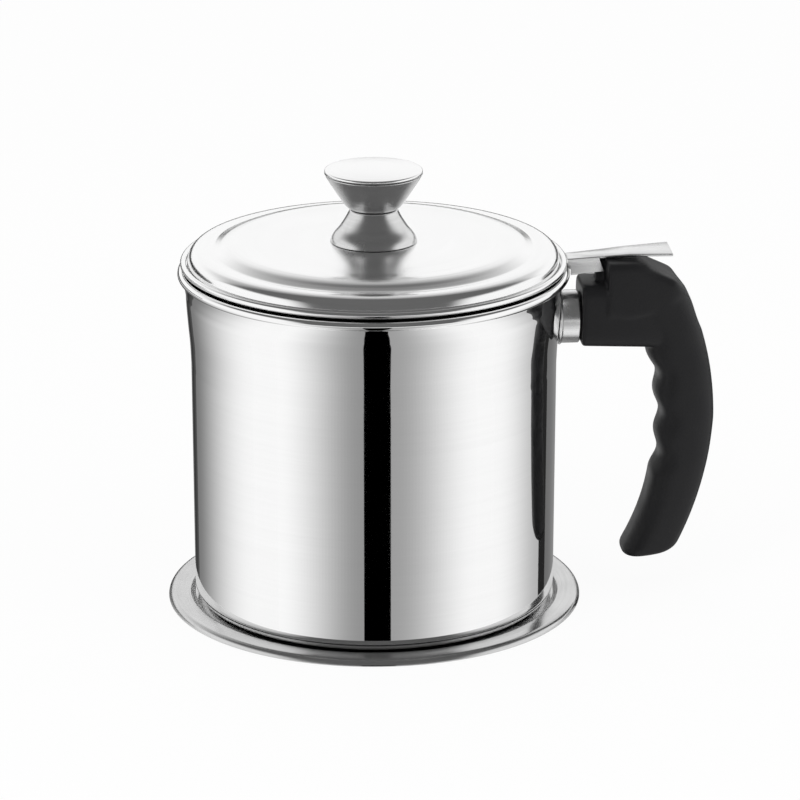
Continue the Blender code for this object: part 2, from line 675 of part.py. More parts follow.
# Lid screw: a pan head with a slot, from under the lid up into the insert
def make_lid_screw(steel):
    under = LID_TOP + LID_CROWN - SHEET - FIT_GAP
    seat = under - WASHER_THICKNESS - FIT_GAP
    thread = THREAD_DIA / 2
    head = SCREW_HEAD_DIA / 2
    low = seat - SCREW_HEAD_HEIGHT
    tip = KNOB_SEAT + SCREW_REACH - FIT_GAP * 2
    outline = [(0, tip), (thread - thread / 4, tip), (thread, tip - thread / 4), (thread, seat)]
    outline += [(head, seat), (head, seat - SCREW_HEAD_HEIGHT / 2), (head * 0.7, low), (0, low)]
    screw = turned("lid_screw", outline, steel, SMALL_STEPS)
    slot = box("screw_slot", (-head - OVERRUN, -SLOT_WIDTH / 2, low - OVERRUN),
               (head + OVERRUN, SLOT_WIDTH / 2, low + SLOT_DEPTH))
    cut(screw, slot)
    make_washer("lid_washer", steel).location = (0, 0, under - WASHER_THICKNESS)


def main():
    clear_scene()
    for collection in (parts, cutters):
        bpy.context.scene.collection.children.link(collection)
    mirror_steel = finish("mirror_steel", (0.80, 0.80, 0.80), 1.0, 0.06)
    polished_steel = finish("polished_steel", (0.78, 0.78, 0.77), 1.0, 0.14)
    satin_steel = finish("satin_steel", (0.62, 0.62, 0.62), 1.0, 0.32)
    black_plastic = finish("black_plastic", (0.012, 0.012, 0.013), 0.0, 0.42)
    side = pot_side(FIT_GAP)
    envelope = turned("pot_envelope", [(0, side[0][1])] + side + [(0, side[-1][1])], None, LARGE_STEPS)
    make_tray(satin_steel)
    make_pot(mirror_steel)
    make_ferrule(satin_steel, envelope)
    make_stud(satin_steel, envelope)
    make_grip(black_plastic)
    lay_along_x(make_washer("handle_washer", satin_steel), POCKET_FLOOR + FIT_GAP)
    make_nut(satin_steel)
    make_pan(polished_steel)
    make_net(satin_steel)
    make_clamp_ring(satin_steel)
    make_tab(satin_steel)
    make_lid(polished_steel)
    make_knob_foot(satin_steel)
    make_knob_cup(satin_steel)
    make_knob_cap(polished_steel)
    make_knob_insert(satin_steel)
    make_lid_screw(satin_steel)


main()
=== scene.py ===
"""Looks of the bacon grease container: smooth turned steel, a moulded handle, a studio round it.

Metres, +Z up, the pot's axis on Z and the handle along +X.
"""

import math

import bmesh
import bpy
from mathutils import Matrix, Vector


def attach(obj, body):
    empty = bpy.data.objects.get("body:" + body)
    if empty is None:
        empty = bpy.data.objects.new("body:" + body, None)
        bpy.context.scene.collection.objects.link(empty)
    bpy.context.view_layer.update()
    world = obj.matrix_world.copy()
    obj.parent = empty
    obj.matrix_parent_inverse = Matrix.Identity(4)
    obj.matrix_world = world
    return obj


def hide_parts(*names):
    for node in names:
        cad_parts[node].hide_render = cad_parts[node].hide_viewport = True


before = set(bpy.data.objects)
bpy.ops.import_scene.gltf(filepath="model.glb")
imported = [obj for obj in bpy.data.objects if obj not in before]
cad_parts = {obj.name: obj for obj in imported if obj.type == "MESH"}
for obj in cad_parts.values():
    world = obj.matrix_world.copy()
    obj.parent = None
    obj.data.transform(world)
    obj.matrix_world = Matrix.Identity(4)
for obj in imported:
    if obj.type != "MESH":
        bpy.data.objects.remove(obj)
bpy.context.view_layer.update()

# Sheet and gaps
SHEET = 0.0006
GAP = 0.0003
POLE = 0.000001
MERGE = 0.00001
HOLD = 0.00025
ROUND = 256

# Heights of the pieces above the floor
POT_BOTTOM = SHEET + GAP
RIM_TOP = POT_BOTTOM + 0.1027
FLANGE_UNDER = RIM_TOP + GAP
FLANGE_TOP = FLANGE_UNDER + SHEET
PAN_FLOOR = FLANGE_TOP - 0.0185
LID_SEAT = FLANGE_TOP + GAP
LID_TOP = LID_SEAT + 0.0064
LID_CROWN = 0.0003
KNOB_SEAT = LID_TOP + LID_CROWN + GAP
KNOB_HEIGHT = 0.0224
FOOT_HEIGHT = 0.0096
CUP_SEAT = KNOB_SEAT + FOOT_HEIGHT + GAP
CAP_CROWN = 0.0007
CAP_EDGE = 0.0012
CAP_SEAT = KNOB_SEAT + KNOB_HEIGHT - CAP_CROWN - CAP_EDGE
AXIS_HEIGHT = RIM_TOP - 0.0170
TRAY_TOP = 0.0021
LIP_HEIGHT = 0.0072
FLARE_HEIGHT = 0.0220
HEM = 0.0006
BORDER_HEIGHT = 0.0049

# Radii
POT_RADIUS = 0.0546
WALL_TOP = POT_RADIUS + 0.0002
LIP_RADIUS = WALL_TOP + 0.0014
RIM_RADIUS = LIP_RADIUS + 0.00235
RIM_BEAD = 0.0013
TRAY_RADIUS = 0.0630
FLANGE_RADIUS = RIM_RADIUS - 0.00085
FLANGE_BEAD = 0.0009
COLLAR_RADIUS = POT_RADIUS - SHEET - 0.0008
LID_RADIUS = FLANGE_RADIUS - FLANGE_BEAD * 2 - GAP
WINDOW_RADIUS = 0.0340
NET_RADIUS = WINDOW_RADIUS + 0.0030
POT_CORNER = 0.0042
TRAY_FLANGE = 0.00705
TRAY_ROLL = 0.0018
COLLAR_BEND = 0.0015
PAN_CORNER = 0.0040
FOOT_RADIUS = 0.01295
NECK_RADIUS = 0.0071
CUP_RADIUS = 0.0146
BORE_RADIUS = 0.0023
SHANK_BORE = 0.0038
FERRULE_RADIUS = 0.0080
FERRULE_SHEET = 0.0007

# Where the photograph was taken from
CAMERA_PLACE = (-0.08715, -1.14742, 0.43926)

# Outlines as shares of a run and a rise
FLARE_SHARES = ((0.0, 0.0), (0.21, 0.3), (0.57, 0.57), (0.93, 0.9), (1.0, 1.0))
LIP_SHARES = ((0.05, 0.12), (0.24, 0.47), (0.52, 0.80))
SKIRT_SHARES = ((0.0, 0.0), (0.04, 0.35), (0.14, 0.68), (0.32, 0.9), (0.6, 1.0), (0.92, 1.02))
STEP_SHARES = ((0.22, 0.06), (0.5, 0.40), (0.8, 0.84), (1.0, 1.0))
FOOT_SHARES = ((0.0, 0.0), (0.06, 0.1), (0.5, 0.46), (0.82, 0.78), (1.0, 1.0))
CUP_SHARES = ((0.0, 0.0), (0.12, 0.06), (0.38, 0.3), (0.62, 0.56), (0.87, 0.84), (1.0, 1.0))
RAMP_SHARES = ((0.11, 0.18), (0.24, 0.42), (0.39, 0.54), (0.7, 0.76), (0.865, 0.92), (1.0, 1.0))


# Outlines
def arc(across, height, radius, start, end, steps=8):
    """Points on an arc in the (radius, height) plane, with angles in degrees from outwards."""
    angles = [math.radians(start + (end - start) * i / steps) for i in range(steps + 1)]
    return [(across + radius * math.cos(a), height + radius * math.sin(a)) for a in angles]


def along(start, end, shares):
    """Points between two corners, at shares of the run and of the rise."""
    run = end[0] - start[0]
    rise = end[1] - start[1]
    return [(start[0] + run * across, start[1] + rise * up) for across, up in shares]


def curve(points, steps=5):
    """A smooth line through the points, with steps on each stretch."""
    spots = [Vector(point) for point in points]
    runs = [after - before for before, after in zip(spots, spots[1:])]
    ways = [runs[0].normalized()]
    for before, after in zip(runs, runs[1:]):
        turn = before.normalized() * after.length + after.normalized() * before.length
        ways.append(turn / (before.length + after.length))
    ways.append(runs[-1].normalized())
    line = []
    for i, run in enumerate(runs):
        for j in range(steps):
            t = j / steps
            bend = ways[i] * (t ** 3 - 2 * t ** 2 + t) + ways[i + 1] * (t ** 3 - t ** 2)
            line.append((spots[i] + run * (3 * t ** 2 - 2 * t ** 3) + bend * run.length).to_tuple())
    return line + [tuple(points[-1])]


def inwards(points, distance, drop=0.0):
    """The same outline moved towards its axis, from its last point back to its first."""
    return [(across - distance, height - drop) for across, height in reversed(points)]


def held(outline):
    """The outline with a ring close to both ends of each long straight, so that it shades flat."""
    line = [outline[0]]
    for start, end in zip(outline, outline[1:]):
        run = Vector(end) - Vector(start)
        if run.length > HOLD * 5:
            step = run.normalized() * HOLD
            line += [(Vector(start) + step).to_tuple(), (Vector(end) - step).to_tuple()]
        line.append(end)
    return line


# Modelling
def settle(piece, name):
    """Name a finished piece, put its place into its mesh and shade it smooth."""
    piece.name = name
    piece.data.name = name
    bpy.ops.object.select_all(action="DESELECT")
    piece.select_set(True)
    bpy.context.view_layer.objects.active = piece
    bpy.ops.object.transform_apply(location=True, rotation=True, scale=True)
    bpy.ops.object.shade_smooth()
    return piece


def turned(name, outline, steps=ROUND):
    """Turn an outline about Z: a circle, extruded ring by ring along the outline."""
    rings = [(max(across, POLE), height) for across, height in held(outline)]
    bpy.ops.object.select_all(action="DESELECT")
    bpy.ops.mesh.primitive_circle_add(vertices=steps, radius=rings[0][0], location=(0, 0, rings[0][1]))
    piece = settle(bpy.context.object, name)
    bpy.ops.object.mode_set(mode="EDIT")
    bpy.ops.mesh.select_all(action="SELECT")
    for (before, low), (after, high) in zip(rings, rings[1:]):
        bpy.ops.mesh.extrude_region_move(TRANSFORM_OT_translate={"value": (0, 0, high - low)})
        share = after / before
        bpy.ops.transform.resize(value=(share, share, 1), center_override=(0, 0, high))
    bpy.ops.mesh.select_all(action="SELECT")
    bpy.ops.mesh.remove_doubles(threshold=MERGE)
    bpy.ops.mesh.normals_make_consistent(inside=False)
    bpy.ops.object.mode_set(mode="OBJECT")
    bpy.ops.object.shade_smooth()
    return piece


def apply_modifier(piece, kind, **settings):
    modifier = piece.modifiers.new(kind.title(), kind)
    for setting, value in settings.items():
        setattr(modifier, setting, value)
    bpy.ops.object.select_all(action="DESELECT")
    piece.select_set(True)
    bpy.context.view_layer.objects.active = piece
    bpy.ops.object.modifier_apply(modifier=modifier.name)
    return piece


def cut(piece, cutter, operation="DIFFERENCE"):
    apply_modifier(piece, "BOOLEAN", object=cutter, operation=operation, solver="EXACT")
    bpy.data.objects.remove(cutter, do_unlink=True)
    return piece


def laid_along_x(piece, reach):
    """Turn a piece made about Z so that it runs out along +X on the ferrule's axis."""
    piece.rotation_euler = (0, math.pi / 2, 0)
    piece.location = (reach, 0, AXIS_HEIGHT)
    return settle(piece, piece.name)


def rod(name, radius, low, high, steps=64):
    bpy.ops.object.select_all(action="DESELECT")
    bpy.ops.mesh.primitive_cylinder_add(vertices=steps, radius=radius, depth=high - low,
                                        location=(0, 0, (low + high) / 2))
    return settle(bpy.context.object, name)


# Node groups and materials
def add_node(tree, kind, **settings):
    node = tree.nodes.new(kind)
    for setting, value in settings.items():
        setattr(node, setting, value)
    return node


def sum_of(tree, first, second, operation="ADD"):
    """A Math node on two sockets or numbers."""
    node = add_node(tree, "ShaderNodeMath", operation=operation)
    for socket, value in zip(node.inputs, (first, second)):
        if isinstance(value, bpy.types.NodeSocket):
            tree.links.new(value, socket)
        else:
            socket.default_value = value
    return node.outputs[0]


def ramp(tree, value, low, high, start=0.0, end=1.0):
    """Map a value from one range to another, held at its ends."""
    node = add_node(tree, "ShaderNodeMapRange", interpolation_type="SMOOTHSTEP")
    tree.links.new(value, node.inputs["Value"])
    for name, number in (("From Min", low), ("From Max", high), ("To Min", start), ("To Max", end)):
        node.inputs[name].default_value = number
    return node.outputs["Result"]


def new_group(name, inputs, outputs):
    tree = bpy.data.node_groups.new(name, "ShaderNodeTree")
    for label, kind in inputs:
        tree.interface.new_socket(label, in_out="INPUT", socket_type=kind)
    for label, kind in outputs:
        tree.interface.new_socket(label, in_out="OUTPUT", socket_type=kind)
    return tree, tree.nodes.new("NodeGroupInput").outputs, tree.nodes.new("NodeGroupOutput").inputs


def noise(tree, vector, scale, detail=2.0, rough=0.5):
    node = add_node(tree, "ShaderNodeTexNoise")
    tree.links.new(vector, node.inputs["Vector"])
    if isinstance(scale, bpy.types.NodeSocket):
        tree.links.new(scale, node.inputs["Scale"])
    else:
        node.inputs["Scale"].default_value = scale
    node.inputs["Detail"].default_value = detail
    node.inputs["Roughness"].default_value = rough
    return node.outputs["Fac"]


def turned_lines_group():
    """Coordinates in which a noise runs out into fine circles about a Z axis."""
    tree, given, result = new_group(
        "turned_lines", (("Place", "NodeSocketVector"),), (("Lines", "NodeSocketVector"),))
    parts = add_node(tree, "ShaderNodeSeparateXYZ")
    tree.links.new(given["Place"], parts.inputs[0])
    square = sum_of(tree, sum_of(tree, parts.outputs[0], 2.0, "POWER"),
                    sum_of(tree, parts.outputs[1], 2.0, "POWER"))
    reach = sum_of(tree, square, 0.5, "POWER")
    whole = add_node(tree, "ShaderNodeCombineXYZ")
    tree.links.new(sum_of(tree, parts.outputs[0], 0.02, "MULTIPLY"), whole.inputs[0])
    tree.links.new(sum_of(tree, parts.outputs[1], 0.02, "MULTIPLY"), whole.inputs[1])
    tree.links.new(sum_of(tree, reach, parts.outputs[2]), whole.inputs[2])
    tree.links.new(whole.outputs[0], result["Lines"])
    return tree


def grain_group():
    """Brushed grain: fine scratches over coarser ones, and cloudy patches where it was wiped."""
    tree, given, result = new_group(
        "brushed_grain",
        (("Lines", "NodeSocketVector"), ("Place", "NodeSocketVector"), ("Fineness", "NodeSocketFloat")),
        (("Height", "NodeSocketFloat"), ("Cloud", "NodeSocketFloat")))
    fine = noise(tree, given["Lines"], given["Fineness"], 3.0, 0.65)
    coarse = noise(tree, given["Lines"], sum_of(tree, given["Fineness"], 0.23, "MULTIPLY"), 2.0)
    tree.links.new(sum_of(tree, fine, sum_of(tree, coarse, 0.6, "MULTIPLY")), result["Height"])
    tree.links.new(noise(tree, given["Place"], 60.0, 3.0, 0.55), result["Cloud"])
    return tree


def moulded_group():
    """Texture of a spark-eroded mould: fine pits over a slow unevenness."""
    tree, given, result = new_group(
        "moulded_texture", (("Place", "NodeSocketVector"), ("Fineness", "NodeSocketFloat")),
        (("Height", "NodeSocketFloat"), ("Cloud", "NodeSocketFloat")))
    cells = add_node(tree, "ShaderNodeTexVoronoi", feature="SMOOTH_F1")
    tree.links.new(given["Place"], cells.inputs["Vector"])
    tree.links.new(given["Fineness"], cells.inputs["Scale"])
    fine = noise(tree, given["Place"], sum_of(tree, given["Fineness"], 2.2, "MULTIPLY"), 2.0)
    pits = sum_of(tree, cells.outputs["Distance"], sum_of(tree, fine, 0.5, "MULTIPLY"))
    tree.links.new(pits, result["Height"])
    tree.links.new(noise(tree, given["Place"], 70.0, 2.0), result["Cloud"])
    return tree


turned_lines = turned_lines_group()
brushed_grain = grain_group()
moulded_texture = moulded_group()


def use_group(tree, group, **inputs):
    node = add_node(tree, "ShaderNodeGroup", node_tree=group)
    for name, value in inputs.items():
        if isinstance(value, bpy.types.NodeSocket):
            tree.links.new(value, node.inputs[name])
        else:
            node.inputs[name].default_value = value
    return node.outputs


def new_material(name, metallic):
    """A material with its Principled shader, and its Object coordinates through a Mapping."""
    material = bpy.data.materials.new(name)
    material.use_nodes = True
    tree = material.node_tree
    shader = tree.nodes["Principled BSDF"]
    shader.inputs["Metallic"].default_value = metallic
    place = add_node(tree, "ShaderNodeMapping")
    tree.links.new(add_node(tree, "ShaderNodeTexCoord").outputs["Object"], place.inputs["Vector"])
    return material, tree, shader, place


def colour_between(tree, shader, value, dark, light):
    """Feed Base Color from a value, between two greys or colours."""
    mix = add_node(tree, "ShaderNodeMix", data_type="RGBA")
    tree.links.new(value, mix.inputs["Factor"])
    mix.inputs["A"].default_value = (*dark, 1)
    mix.inputs["B"].default_value = (*light, 1)
    tree.links.new(mix.outputs["Result"], shader.inputs["Base Color"])


def bumped(tree, shader, height, depth):
    bump = add_node(tree, "ShaderNodeBump")
    bump.inputs["Distance"].default_value = depth
    tree.links.new(height, bump.inputs["Height"])
    tree.links.new(bump.outputs["Normal"], shader.inputs["Normal"])


def steel(name, dark, light, smooth, rough, depth, fineness, lines="turned", stretch=(1, 1, 1)):
    """Stainless steel: its grain follows turned circles, or straight lines along a stretch."""
    material, tree, shader, place = new_material(name, 1.0)
    if lines == "turned":
        way = use_group(tree, turned_lines, Place=place.outputs[0])["Lines"]
    else:
        drawn = add_node(tree, "ShaderNodeMapping")
        drawn.inputs["Scale"].default_value = stretch
        tree.links.new(place.outputs[0], drawn.inputs["Vector"])
        way = drawn.outputs[0]
    grain = use_group(tree, brushed_grain, Lines=way, Place=place.outputs[0], Fineness=fineness)
    colour_between(tree, shader, grain["Height"], (dark,) * 3, (light,) * 3)
    tree.links.new(ramp(tree, grain["Cloud"], 0.3, 0.7, smooth, rough), shader.inputs["Roughness"])
    bumped(tree, shader, grain["Height"], depth)
    return material


mirror_steel = steel("mirror_polished_steel", 0.90, 0.95, 0.025, 0.045, 0.0000002, 900.0)
lid_steel = steel("buffed_lid_steel", 0.92, 0.97, 0.20, 0.22, 0.0000004, 2600.0)
border_steel = steel("polished_border_steel", 0.88, 0.95, 0.14, 0.16, 0.0000003, 2000.0)
satin_steel = steel("satin_turned_steel", 0.54, 0.70, 0.20, 0.26, 0.000004, 3200.0)
knob_steel = steel("satin_knob_steel", 0.60, 0.74, 0.22, 0.28, 0.000003, 4200.0)
inner_steel = steel("satin_inner_steel", 0.60, 0.80, 0.22, 0.30, 0.000005, 2400.0)
tab_steel = steel("brushed_tab_steel", 0.66, 0.86, 0.24, 0.32, 0.000004, 1800.0, "straight", (0.03, 1, 1))
plain_steel = steel("plain_fixing_steel", 0.52, 0.68, 0.28, 0.40, 0.000004, 2500.0, "straight", (1, 0.2, 1))
wire_steel = steel("drawn_wire_steel", 0.55, 0.72, 0.25, 0.36, 0.000002, 1500.0, "straight", (1, 1, 1))


def black_plastic():
    """Black nylon moulding with a fine sparked texture and a faint sheen."""
    material, tree, shader, place = new_material("black_moulded_plastic", 0.0)
    texture = use_group(tree, moulded_texture, Place=place.outputs[0], Fineness=2600.0)
    colour_between(tree, shader, texture["Cloud"], (0.009, 0.009, 0.010), (0.013, 0.013, 0.014))
    tree.links.new(ramp(tree, texture["Cloud"], 0.3, 0.7, 0.40, 0.50), shader.inputs["Roughness"])
    bumped(tree, shader, texture["Height"], 0.00003)
    shader.inputs["Specular IOR Level"].default_value = 0.25
    return material


handle_plastic = black_plastic()


def place_piece(piece, body, node, slot, *materials):
    """Give a piece its finish, and let it ride on its body in place of its CAD node."""
    piece.data.materials.clear()
    for material in materials:
        piece.data.materials.append(material)
    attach(piece, body)
    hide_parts(node)
    return piece


# Tray: flat well, a step up to the flange and an edge rolled down
def make_tray():
    top = TRAY_TOP
    roll = TRAY_ROLL
    well = POT_RADIUS + 0.0004
    step = well + 0.0007
    centre = (step + TRAY_FLANGE - roll, top - roll)
    outline = [(0, SHEET)]
    outline += curve([(well - 0.0004, SHEET), (well + 0.0001, SHEET + 0.0002),
                      (step - 0.0001, top - 0.0003), (step + 0.0005, top)], 4)
    outline += arc(*centre, roll, 90, 0, 12)
    outline += arc(*centre, roll - SHEET, 0, 90, 8)
    outline += [(step + SHEET / 2, top - SHEET), (well + SHEET / 2, 0), (0, 0)]
    place_piece(turned("tray_pressing", outline), "tray_body", "tray", "satin_steel", satin_steel)


def pot_side():
    """The pot's outer side, down from the rim's bead to its bottom corner."""
    lip_foot = (LIP_RADIUS, RIM_TOP - LIP_HEIGHT)
    flare_foot = (WALL_TOP, lip_foot[1] - FLARE_HEIGHT)
    bead = arc(RIM_RADIUS - RIM_BEAD, RIM_TOP - RIM_BEAD, RIM_BEAD, 0, -70, 8)
    side = along(lip_foot, (RIM_RADIUS, RIM_TOP - RIM_BEAD), LIP_SHARES)[::-1]
    side += along(flare_foot, lip_foot, FLARE_SHARES)[::-1]
    return bead + curve(side, 7)


# Pot: mirror-polished canister, flared under its rolled rim, satin inside
def make_pot():
    side = pot_side()
    wall = [point for point in side if point[1] <= RIM_TOP - LIP_HEIGHT]
    foot = (POT_RADIUS - POT_CORNER, POT_BOTTOM + POT_CORNER)
    inside = [(0, POT_BOTTOM + SHEET)] + arc(*foot, POT_CORNER - SHEET, -90, 0)
    inside += inwards(wall, SHEET)
    rim = arc(RIM_RADIUS - RIM_BEAD, RIM_TOP - RIM_BEAD, RIM_BEAD, 180, 0, 12)[:-1]
    outline = inside + rim + side + arc(*foot, POT_CORNER, 0, -90, 12) + [(0, POT_BOTTOM)]
    pot = turned("pot_canister", outline)
    place_piece(pot, "pot_body", "pot_shell", "mirror_steel", mirror_steel, inner_steel)
    for face in pot.data.polygons:
        out = Vector((face.center.x, face.center.y, 0))
        inner_floor = face.normal.z > 0.5 and face.center.z < RIM_TOP / 2
        inner_wall = face.normal.dot(out) < 0 and face.center.z < RIM_TOP - RIM_BEAD * 2
        if inner_floor or (inner_wall and face.normal.z > -0.5):
            face.material_index = 1


# Ferrule: a short tube with a raised lip, fish-mouthed to the pot's side
def make_ferrule():
    root = POT_RADIUS - 0.0070
    length = 0.0140
    outer = FERRULE_RADIUS
    inner = outer - FERRULE_SHEET
    lip = 0.0080
    small = 0.0005
    outline = [(inner, length), (outer - small, length)]
    outline += arc(outer - small, length - small, small, 90, 0, 5)
    outline += [(outer, lip + small * 1.4)]
    outline += arc(outer, lip, small, 60, -60, 8)
    outline += [(outer, lip - small * 1.4), (outer, 0), (inner, 0), (inner, length)]
    ferrule = laid_along_x(turned("ferrule_tube", outline, 96), root)
    side = [(across + GAP, height) for across, height in pot_side()]
    envelope = turned("pot_envelope", [(0, side[0][1])] + side + [(0, side[-1][1])])
    cut(ferrule, envelope)
    bpy.ops.object.shade_smooth_by_angle(angle=math.radians(40))
    place_piece(ferrule, "pot_body", "handle_ferrule", "satin_steel", tab_steel)


# Handle
SECTION_POINTS = 96
GRIP_POWER = 2.8
HUMP_POWER = 9.0
NECK_POWER = 6.0
GRIP_STATIONS = 120
GRIP_RADIUS = 0.0928
GRIP_THICKNESS = 0.0163
HALF_WIDTH = 0.0100
NECK_FACE = POT_RADIUS + 0.0070 + GAP
GRIP_REACH = POT_RADIUS + 0.0485
GRIP_DROP = 0.0317
GRIP_RISE = 0.0084
GRIP_LENGTH = 0.0713
RIDGE_START = 0.0077
RIDGE_PITCH = 0.0128
RIDGE_DEPTH = 0.0016
GRIP_TAPER = 0.0011
END_ROUND = 0.0030
HUMP_REACH = POT_RADIUS + 0.0239
HUMP_HEIGHT = 0.0186
NOSE_REACH = POT_RADIUS + 0.0120
NOSE_LENGTH = 0.0025
NOSE_HALF_WIDTH = 0.0026
NECK_LIFT = 0.0017
NECK_BELOW = 0.0093
NECK_ABOVE = 0.0096
NECK_GAIN = 0.0010
NECK_INSET = 0.0004
VOXEL = 0.00042


def section(inner, outer, half_width, shrink=0.0, power=GRIP_POWER):
    """A rounded-rectangle ring between two (reach, height) points of the handle's side view."""
    inner = Vector((inner[0], 0, inner[1]))
    outer = Vector((outer[0], 0, outer[1]))
    across = (outer - inner).normalized() * ((outer - inner).length / 2 - shrink)
    ring = []
    for i in range(SECTION_POINTS):
        angle = math.tau * i / SECTION_POINTS
        u = math.copysign(abs(math.cos(angle)) ** (2 / power), math.cos(angle))
        v = math.copysign(abs(math.sin(angle)) ** (2 / power), math.sin(angle))
        ring.append((inner + outer) / 2 + across * u + Vector((0, (half_width - shrink) * v, 0)))
    return ring


def loft(name, rings):
    """Skin a row of rings of points, and close both ends."""
    mesh = bpy.data.meshes.new(name)
    bm = bmesh.new()
    rows = [[bm.verts.new(point) for point in ring] for ring in rings]
    for upper, lower in zip(rows, rows[1:]):
        for i, vert in enumerate(upper):
            j = (i + 1) % len(upper)
            bm.faces.new((vert, upper[j], lower[j], lower[i]))
    bm.faces.new(rows[0])
    bm.faces.new(rows[-1])
    bmesh.ops.recalc_face_normals(bm, faces=bm.faces)
    bm.to_mesh(mesh)
    bm.free()
    piece = bpy.data.objects.new(name, mesh)
    bpy.context.scene.collection.objects.link(piece)
    return piece


def grip_rings():
    """Sections of the grip, from its lower end up its arc, over the hump and down to the nose."""
    centre = Vector((GRIP_REACH - GRIP_RADIUS, AXIS_HEIGHT - GRIP_DROP))
    front_radius = GRIP_RADIUS - GRIP_THICKNESS
    top = math.asin((GRIP_DROP + GRIP_RISE) / GRIP_RADIUS)
    end = math.asin((GRIP_DROP - GRIP_LENGTH) / GRIP_RADIUS)
    slant = math.radians(7.0)
    first = RIDGE_START / front_radius
    pitch = RIDGE_PITCH / front_radius
    last = first - pitch * 2

    def ridge(angle):
        wave = (1 + math.cos(math.tau * (angle - first) / pitch)) / 2
        if angle >= last:
            return RIDGE_DEPTH * wave
        return RIDGE_DEPTH * max(0.0, 1 - (last - angle) / (last - end + slant))

    def taper(angle):
        share = min(1.0, max(0.0, angle / end))
        return GRIP_TAPER * share * (2 - share)

    def spot(angle, radius):
        return centre + Vector((math.cos(angle), math.sin(angle))) * radius

    rings = []
    for i in range(GRIP_STATIONS + 1):
        share = i / GRIP_STATIONS
        back = end + (top - end) * share
        front = back - slant * (1 - share) ** 4
        inner = spot(front, front_radius + taper(front) - ridge(front))
        outer = spot(back, GRIP_RADIUS - taper(back))
        if i == 0:
            down = Vector((math.sin(end), -math.cos(end))) * END_ROUND
            for depth, inset in arc(0, 1, 1, 0, -90, 10)[:-1]:
                low = (inner + down * depth, outer + down * depth)
                rings.append(section(*low, HALF_WIDTH, END_ROUND * inset))
        rings.append(section(inner, outer, HALF_WIDTH))
    flat = Vector((HUMP_REACH, AXIS_HEIGHT + HUMP_HEIGHT))
    front = NOSE_REACH + NOSE_LENGTH + 0.0004
    line = curve([tuple(outer)] + along(outer, flat, RAMP_SHARES), 4)[1:]
    for i, point in enumerate(line, start=1):
        reach = inner.x + (front - inner.x) * i / (len(line) + 1)
        power = GRIP_POWER + (HUMP_POWER - GRIP_POWER) * min(1.0, i / 8)
        rings.append(section((reach, inner.y), point, HALF_WIDTH, power=power))
    rings.append(section((front, inner.y), (front, flat.y), HALF_WIDTH, power=HUMP_POWER))
    for reach in (NOSE_REACH + NOSE_LENGTH, NOSE_REACH):
        ends = ((reach, inner.y), (reach, flat.y - 0.0004))
        rings.append(section(*ends, NOSE_HALF_WIDTH, power=HUMP_POWER))
    return rings


def make_grip():
    """One moulding of neck, hump and grip: fused, softened, then bored and pocketed."""
    grip = loft("handle_moulding", grip_rings())
    inside = GRIP_REACH - GRIP_THICKNESS
    low = AXIS_HEIGHT + NECK_LIFT - NECK_BELOW
    high = AXIS_HEIGHT + NECK_LIFT + NECK_ABOVE
    inset = NECK_INSET
    half = HALF_WIDTH - inset
    neck = [section((NECK_FACE, low + inset), (NECK_FACE, high - inset), half, inset, NECK_POWER)]
    neck.append(section((NECK_FACE + inset, low), (NECK_FACE + inset, high), half, 0.0, NECK_POWER))
    neck.append(section((inside, low - NECK_GAIN), (inside, high + NECK_GAIN), half, 0.0, NECK_POWER))
    cut(grip, loft("neck_form", neck), "UNION")
    apply_modifier(grip, "REMESH", mode="VOXEL", voxel_size=VOXEL)
    apply_modifier(grip, "SMOOTH", factor=0.5, iterations=7)
    spigot_radius = FERRULE_RADIUS - FERRULE_SHEET - GAP
    spigot = laid_along_x(rod("spigot_form", spigot_radius, -0.0036, 0.0020), NECK_FACE)
    cut(grip, spigot, "UNION")
    cut(grip, laid_along_x(rod("stud_bore", BORE_RADIUS, -0.0060, 0.0300), NECK_FACE))
    cut(grip, laid_along_x(rod("nut_pocket", 0.0049, 0, 0.0190), POT_RADIUS + 0.0335))
    bpy.ops.object.shade_smooth_by_angle(angle=math.radians(42))
    place_piece(grip, "pot_body", "handle_grip", "black_plastic", handle_plastic)


# Strainer pan: flange with a beaded edge, collar, rounded corner and a window for the net
def make_pan():
    edge = (FLANGE_RADIUS - FLANGE_BEAD, FLANGE_TOP + FLANGE_BEAD)
    bend = (COLLAR_RADIUS + COLLAR_BEND, FLANGE_UNDER - COLLAR_BEND)
    corner = PAN_CORNER
    base = (COLLAR_RADIUS - corner, PAN_FLOOR + corner)
    outline = arc(*edge, FLANGE_BEAD, 225, -60, 16)
    outline += [(edge[0], FLANGE_UNDER)] + arc(*bend, COLLAR_BEND, 90, 180)
    outline += arc(*base, corner, 0, -90, 12)
    outline += [(WINDOW_RADIUS, PAN_FLOOR), (WINDOW_RADIUS, PAN_FLOOR + SHEET)]
    outline += arc(*base, corner - SHEET, -90, 0, 12) + arc(*bend, COLLAR_BEND + SHEET, 180, 90)
    pan = turned("strainer_pressing", outline + [outline[0]])
    place_piece(pan, "strainer_body", "strainer_pan", "polished_steel", border_steel)


